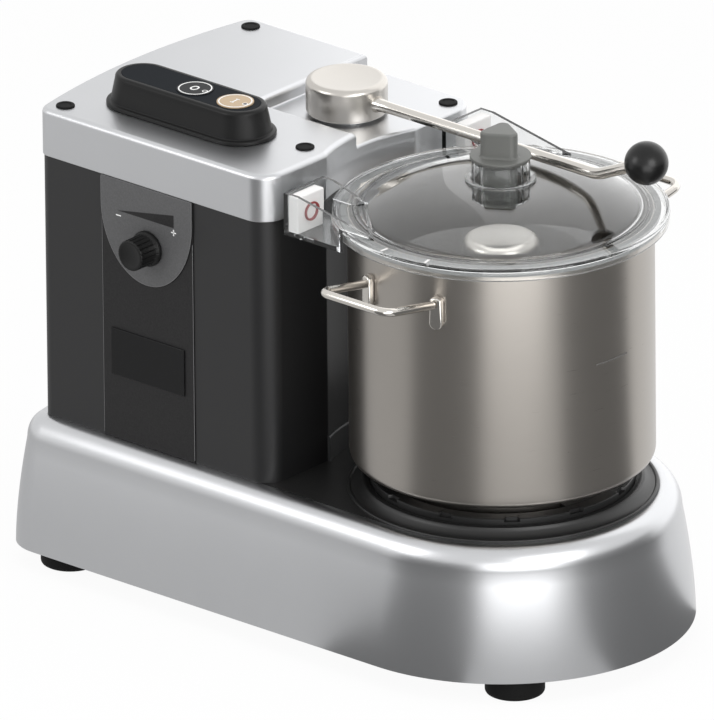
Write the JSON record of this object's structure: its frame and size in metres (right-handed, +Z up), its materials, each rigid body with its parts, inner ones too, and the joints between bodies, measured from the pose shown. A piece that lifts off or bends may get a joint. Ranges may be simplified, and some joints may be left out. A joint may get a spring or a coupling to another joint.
{
  "type": "vertical cutter mixer",
  "caption": "Bench food cutter with a steel bowl under a clear lid, a lever that locks the lid, and a motor tower with controls, on a cast aluminium base.",
  "frame": {"origin": "on the bench, under the middle of the machine's box", "axes": "+Z up; X along the length with the bowl at the +X end; the controls face -Y"},
  "size_m": [0.486, 0.3096, 0.3703],
  "materials": {
    "satin_aluminium": "satin",
    "galvanised_steel": "dull",
    "rubber": "matte",
    "zinc_steel": "satin",
    "black_plastic": "satin",
    "cast_aluminium": "cast",
    "bearing_steel": "polished",
    "belt_rubber": "matte",
    "grey_paint": "satin",
    "iron": "dull",
    "soft_black_plastic": "matte",
    "pod_plastic": "satin",
    "inlay_plastic": "satin",
    "grey_plastic": "satin",
    "grained_strip": "grained",
    "dial_plastic": "fine grain",
    "white_print": "matte",
    "plate_plastic": "gloss",
    "board": "satin",
    "hub_plastic": "satin",
    "blade_steel": "ground",
    "bowl_steel": "satin",
    "rod_steel": "polished",
    "etched_line": "etched",
    "clear_plastic": "clear",
    "seal_rubber": "matte",
    "white_plastic": "satin",
    "plug_plastic": "matte",
    "ball_plastic": "gloss",
    "knob_plastic": "satin",
    "off_plastic": "satin",
    "on_plastic": "satin"
  },
  "bodies": {
    "machine": {"base_shell": "satin_aluminium", "base_plate": "galvanised_steel", "foot_front_near": "rubber", "foot_front_far": "rubber", "foot_rear_near": "rubber", "foot_rear_far": "rubber", "foot_screws": "zinc_steel", "top_plate": "black_plastic", "bowl_seat": "black_plastic", "spindle_housing": "cast_aluminium", "spindle_bearings": "bearing_steel", "drive_belt": "belt_rubber", "motor_plate": "galvanised_steel", "motor_housing": "grey_paint", "motor_stator": "iron", "tie_rods": "zinc_steel", "tower_shell": "black_plastic", "tower_cap": "satin_aluminium", "cap_plugs": "soft_black_plastic", "lever_bush": "cast_aluminium", "button_pod": "pod_plastic", "pod_inlay": "inlay_plastic", "pod_switches": "grey_plastic", "control_strip": "grained_strip", "dial_panel": "dial_plastic", "dial_marks": "white_print", "name_plate": "plate_plastic", "speed_pot": "grey_plastic", "power_board": "board", "cord_gland": "soft_black_plastic"},
    "rotor": {"rotor_shaft": "bearing_steel", "rotor_core": "iron", "cooling_fan": "grey_plastic", "drive_pulley": "cast_aluminium"},
    "spindle": {"spindle_shaft": "bearing_steel", "driven_pulley": "cast_aluminium", "blade_hub": "hub_plastic", "blade_lower": "blade_steel", "blade_upper": "blade_steel"},
    "bowl": {"bowl_shell": "bowl_steel", "bowl_ring": "bowl_steel", "handle_near": "rod_steel", "handle_far": "rod_steel", "weld_plates": "rod_steel", "level_line": "etched_line"},
    "lid": {"lid_shell": "clear_plastic", "lid_chimney": "clear_plastic", "lid_seal": "seal_rubber", "ear_near": "clear_plastic", "ear_far": "clear_plastic", "ear_magnets": "white_plastic"},
    "plug": {"feed_plug": "plug_plastic"},
    "lever": {"lever_hub": "rod_steel", "lever_pin": "bearing_steel", "lever_arm": "rod_steel", "lever_ball": "ball_plastic"},
    "knob": {"speed_knob": "knob_plastic"},
    "stop_button": {"button_off": "off_plastic"},
    "start_button": {"button_on": "on_plastic"}
  },
  "joints": [
    {"name": "lever_swing", "type": "hinge", "parent": "machine", "child": "lever", "pos_m": [-0.059, 0.038, 0.325], "axis": [0, 0, 1], "range_deg": [0, 100]},
    {"name": "lid_lift", "type": "slide", "parent": "machine", "child": "lid", "axis": [0, 0, 1], "range_m": [0, 0.0015]},
    {"name": "plug_lift", "type": "slide", "parent": "lid", "child": "plug", "axis": [0, 0, 1], "range_m": [0, 0.06]},
    {"name": "bowl_twist", "type": "hinge", "parent": "machine", "child": "bowl", "pos_m": [0.1125, 0, 0.11], "axis": [0, 0, 1], "range_deg": [0, 30]},
    {"name": "spindle_spin", "type": "hinge", "parent": "machine", "child": "spindle", "pos_m": [0.1125, 0, 0.06], "axis": [0, 0, 1], "continuous": true},
    {"name": "motor_spin", "type": "hinge", "parent": "machine", "child": "rotor", "pos_m": [-0.1225, 0, 0.06], "axis": [0, 0, 1], "continuous": true},
    {"name": "speed_knob_turn", "type": "hinge", "parent": "machine", "child": "knob", "pos_m": [-0.1095, -0.1075, 0.256], "axis": [0, 1, 0], "range_deg": [0, 270]},
    {"name": "stop_press", "type": "slide", "parent": "machine", "child": "stop_button", "axis": [0, 0, -1], "range_m": [0, 0.0008], "stiffness_N_per_m": 800, "springref_m": -0.0006},
    {"name": "start_press", "type": "slide", "parent": "machine", "child": "start_button", "axis": [0, 0, -1], "range_m": [0, 0.0008], "stiffness_N_per_m": 800, "springref_m": -0.0006}
  ],
  "couplings": [
    {"joint": "motor_spin", "follows": "spindle_spin", "ratio": 2.5}
  ]
}
